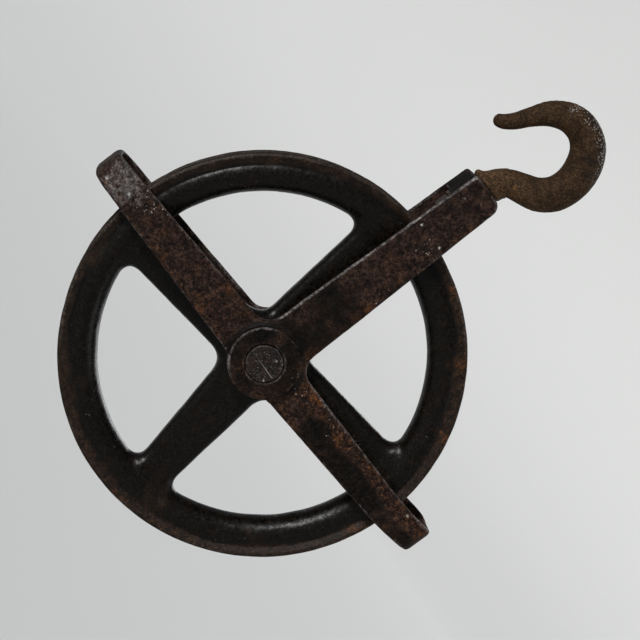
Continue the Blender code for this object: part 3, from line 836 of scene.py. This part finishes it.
def hook_chips(s):
    """Pale crust on the outside of the top of the bowl."""
    x, _, z = s.axes()
    across, up = s.math("SUBTRACT", x, HOOK_BOWL[0]), s.math("SUBTRACT", z, HOOK_BOWL[1])
    far = s.math("ADD", s.math("MULTIPLY", across, across), s.math("MULTIPLY", up, up))
    outside = s.ramp(s.math("SQRT", far), 30.0, 36.0)
    outside = s.math("MULTIPLY", outside, s.ramp(z, HOOK_BOWL[1], HOOK_BOWL[1] + 30.0))
    outside = s.math("MULTIPLY", outside, s.ramp(x, -13.0, -6.0))
    return s.math("MULTIPLY", outside, s.ramp(s.noise(7.0, 4.0, 0.7, shift=5.0), 0.38, 0.52))


def hook_rust(s):
    """Fresh rust where the collar turns on the crosshead."""
    return s.ramp(s.axes()[2], CROSSHEAD_TOP + 30.0, CROSSHEAD_TOP + 2.0, 0.5, 2.2)


def hook_painted_shade(s):
    """Painted shade: the far side of the bowl, away from the shank and turned from the light, is
    made the darkest.
    """
    x, _, z = s.axes()
    far = s.math("ADD", s.math("MULTIPLY", x, 0.61), s.math("MULTIPLY", z, 0.79))
    return s.ramp(far, 222.0, 240.0, 0.46, 0.80)


def hook_bare(s):
    """The shank is the palest."""
    return s.ramp(s.axes()[2], CROSSHEAD_TOP + 36.0, CROSSHEAD_TOP + 12.0, 0.0, 0.11)


LOOKS = {
    "frame": {
        "specular": 0.055, "patch": 40.0, "rust_dark": (0.0088, 0.0058, 0.0048, 1.0),
        "rust": (0.0235, 0.0132, 0.0096, 1.0), "bloom": (0.072, 0.0275, 0.0088, 1.0),
        "bloom_size": 20.0, "bloom_from": 0.50, "dots": 0.45,
        "paint": (0.0026, 0.0026, 0.0020, 1.0), "paint_from": 0.59, "tone": (0.40, 1.75),
        # The frame's bare grey also serves for painted highlights on its left edges and a painted
        # sheen on the left arm's end.
        "bare": (0.17, 0.155, 0.15, 1.0), "bare_share": 0.24,
        "chips": 0.8, "chip_gap": 3.0, "chip_size": 0.19,
        "rust_rough": 0.60, "paint_rough": 0.52, "lumps": 0.30, "fine": 0.20, "grain": 0.09,
    },
    "sheave": {
        "specular": 0.125, "patch": 60.0, "rust_dark": (0.0060, 0.0040, 0.0024, 1.0),
        "rust": (0.0165, 0.0092, 0.0056, 1.0), "bloom": (0.055, 0.0210, 0.0070, 1.0),
        "bloom_size": 26.0, "bloom_from": 0.54, "dots": 0.25,
        "paint": (0.0018, 0.0016, 0.0012, 1.0), "paint_from": 0.42, "tone": (0.50, 1.60),
        "bare": (0.11, 0.090, 0.075, 1.0), "bare_share": 0.16,
        "chips": 0.25, "chip_gap": 3.0, "chip_size": 0.19,
        "rust_rough": 0.52, "paint_rough": 0.29, "lumps": 0.36, "fine": 0.13, "grain": 0.05,
    },
    "axle": {
        "specular": 0.12, "patch": 12.0, "rust_dark": (0.0080, 0.0060, 0.0058, 1.0),
        "rust": (0.0180, 0.0122, 0.0100, 1.0), "bloom": (0.040, 0.021, 0.013, 1.0),
        "bloom_size": 9.0, "bloom_from": 0.58, "dots": 0.3,
        "paint": (0.006, 0.005, 0.005, 1.0), "paint_from": 0.56, "tone": (0.45, 1.65),
        "bare": (0.20, 0.19, 0.18, 1.0), "bare_share": 0.35,
        "chips": 0.30, "chip_gap": 1.9, "chip_size": 0.24,
        "rust_rough": 0.48, "paint_rough": 0.40, "lumps": 0.30, "fine": 0.25, "grain": 0.12,
    },
    "hook": {
        "specular": 0.055, "patch": 30.0, "rust_dark": (0.0215, 0.0125, 0.0068, 1.0),
        "rust": (0.0365, 0.0208, 0.0108, 1.0), "bloom": (0.105, 0.045, 0.0150, 1.0),
        "bloom_size": 16.0, "bloom_from": 0.56, "dots": 0.25,
        # The hook's paint colour is also its painted shade on the far side of the bowl.
        "paint": (0.014, 0.009, 0.0065, 1.0), "paint_from": 0.60, "tone": (0.78, 1.24),
        "bare": (0.19, 0.120, 0.070, 1.0), "bare_share": 0.12,
        "chips": 0.8, "chip_gap": 1.5, "chip_size": 0.42,
        "rust_rough": 0.72, "paint_rough": 0.60, "lumps": 0.35, "fine": 0.28, "grain": 0.16,
    },
    "fastener": {
        "specular": 0.10, "patch": 14.0, "rust_dark": (0.0080, 0.0052, 0.0040, 1.0),
        "rust": (0.0200, 0.0115, 0.0072, 1.0), "bloom": (0.065, 0.027, 0.011, 1.0),
        "bloom_size": 10.0, "bloom_from": 0.52, "dots": 0.4,
        "paint": (0.008, 0.006, 0.005, 1.0), "paint_from": 0.60, "tone": (0.45, 1.65),
        "bare": (0.20, 0.18, 0.16, 1.0), "bare_share": 0.4,
        "chips": 0.4, "chip_gap": 3.0, "chip_size": 0.19,
        "rust_rough": 0.60, "paint_rough": 0.50, "lumps": 0.20, "fine": 0.18, "grain": 0.08,
    },
}


# Pieces

sheave_iron = iron("sheave_paint_and_rust", LOOKS["sheave"], wheel_paint, wheel_rust)
frame_iron = iron(
    "frame_rust", LOOKS["frame"], frame_paint, frame_rust, frame_bare_and_painted_highlights, nicks=frame_nicks,
    rough_where=frame_rough,
)
axle_steel = iron("axle_steel", LOOKS["axle"], chips_where=everywhere, nicks=head_nicks)
# The hook's paint mask is painted shade on the far side of its bowl.
hook_iron = iron("hook_rust", LOOKS["hook"], hook_painted_shade, hook_rust, hook_bare, hook_chips)
fastener_iron = iron("fastener_rust", LOOKS["fastener"])

sheave = field_piece(
    "wheel", sheave_field, SHEAVE_LOW, SHEAVE_HIGH, 1.3, "sheave", "sheave", sheave_iron
)
t_frame = field_piece(
    "t_frame", frame_field, FRAME_LOW, FRAME_HIGH, 1.3, "frame", "frame", frame_iron
)
axle = field_piece(
    "headed_axle", axle_field, AXLE_LOW, AXLE_HIGH, 0.7, "frame", "axle_pin", axle_steel
)
axle_washer = field_piece(
    "back_washer", washer_field(WASHER_LOW, WASHER_HIGH, 9.8, 1), WASHER_LOW, WASHER_HIGH,
    0.5, "frame", "axle_washer", fastener_iron,
)
split_low, split_high = box_mm("axle_split_pin")
split_pin = field_piece(
    "split_pin", split_pin_field, split_low, split_high, 0.35, "frame", "axle_split_pin",
    fastener_iron,
)
hook = field_piece("open_hook", hook_field, HOOK_LOW, HOOK_HIGH, 0.9, "hook", "hook", hook_iron)
swivel_washer = field_piece(
    "crosshead_washer", washer_field(SWIVEL_LOW, SWIVEL_HIGH, 8.3, 2), SWIVEL_LOW, SWIVEL_HIGH,
    0.5, "hook", "swivel_washer", fastener_iron,
)
nut = field_piece(
    "square_nut", nut_field, NUT_LOW, NUT_HIGH, 0.6, "hook", "shank_nut", fastener_iron
)


# Stage, light and camera. Lengths here are in metres.

FLOOR_DROP = 0.30
FLOOR_FLAT = 4.6
WALL_RADIUS = 6.0
WALL_HEIGHT = 2.4
CAMERA_AZIMUTH = math.radians(-9.6)
CAMERA_ELEVATION = math.radians(4.88)
CAMERA_ROLL = math.radians(52.97)
CAMERA_DISTANCE = 1.7535
CAMERA_AIM = (0.005, 0.0, 0.0498)
LENS_MM = 132.1
SENSOR_MM = 36.0


def plain_material(name, colour, roughness):
    material = bpy.data.materials.new(name)
    material.use_nodes = True
    shader = material.node_tree.nodes["Principled BSDF"]
    shader.inputs["Base Color"].default_value = colour
    shader.inputs["Roughness"].default_value = roughness
    shader.inputs["Specular IOR Level"].default_value = 0.2
    return material


def make_floor():
    """A pale floor that curves up into a round wall far behind every view."""
    floor_z = CAD_BOX[0].z - FLOOR_DROP
    bend = WALL_RADIUS - FLOOR_FLAT
    profile = [(0.0, 0.0), (FLOOR_FLAT, 0.0)]
    for turn in np.linspace(0.1, math.pi / 2, 15):
        profile.append((FLOOR_FLAT + bend * math.sin(turn), bend * (1 - math.cos(turn))))
    profile.append((WALL_RADIUS, WALL_HEIGHT))
    work = bmesh.new()
    verts = [work.verts.new((radius, 0.0, floor_z + rise)) for radius, rise in profile]
    edges = [work.edges.new(pair) for pair in zip(verts, verts[1:])]
    bmesh.ops.spin(
        work, geom=verts + edges, axis=(0, 0, 1), cent=(0, 0, 0), angle=math.tau, steps=96,
        use_merge=True,
    )
    bmesh.ops.remove_doubles(work, verts=work.verts, dist=1e-5)
    mesh = bpy.data.meshes.new("floor")
    work.to_mesh(mesh)
    work.free()
    mesh.shade_smooth()
    mesh.materials.append(plain_material("pale_floor", (0.56, 0.56, 0.55, 1.0), 0.8))
    floor = bpy.data.objects.new("floor", mesh)
    bpy.context.scene.collection.objects.link(floor)
    floor.visible_shadow = False


def soft_sun(name, towards, strength, width):
    """Even light from one side, as soft as a window that is width degrees across."""
    data = bpy.data.lights.new(name, "SUN")
    data.angle = math.radians(width)
    data.energy = strength
    light = bpy.data.objects.new(name, data)
    light.rotation_mode = "QUATERNION"
    light.rotation_quaternion = Vector(towards).to_track_quat("Z", "Y")
    bpy.context.scene.collection.objects.link(light)


def make_camera():
    """The camera is rolled, because the wheel leans over on its side in the photograph."""
    across = math.cos(CAMERA_ELEVATION)
    back = Vector(
        (math.sin(CAMERA_AZIMUTH) * across, -math.cos(CAMERA_AZIMUTH) * across,
         math.sin(CAMERA_ELEVATION))
    )
    data = bpy.data.cameras.new("camera")
    data.lens = LENS_MM
    data.sensor_width = SENSOR_MM
    camera = bpy.data.objects.new("camera", data)
    camera.location = AXLE + back * CAMERA_DISTANCE
    aim = AXLE + Vector(CAMERA_AIM)
    camera.rotation_mode = "QUATERNION"
    turn = Matrix.Rotation(CAMERA_ROLL, 3, "Z").to_quaternion()
    camera.rotation_quaternion = (aim - camera.location).to_track_quat("-Z", "Y") @ turn
    bpy.context.scene.collection.objects.link(camera)
    bpy.context.scene.camera = camera


def make_world(brightness):
    """A faint cool sky all round."""
    world = bpy.data.worlds.new("studio")
    world.use_nodes = True
    background = world.node_tree.nodes["Background"]
    background.inputs["Color"].default_value = (0.86, 0.93, 1.0, 1.0)
    background.inputs["Strength"].default_value = brightness
    bpy.context.scene.world = world


make_floor()
make_world(0.28)
soft_sun("key", (-0.68, -0.66, 0.31), 3.0, 12)
soft_sun("back_fill", (0.45, 0.80, 0.40), 1.7, 40)
soft_sun("side_fill", (0.85, -0.20, 0.40), 0.9, 40)
make_camera()
bpy.context.scene.view_settings.view_transform = "Standard"
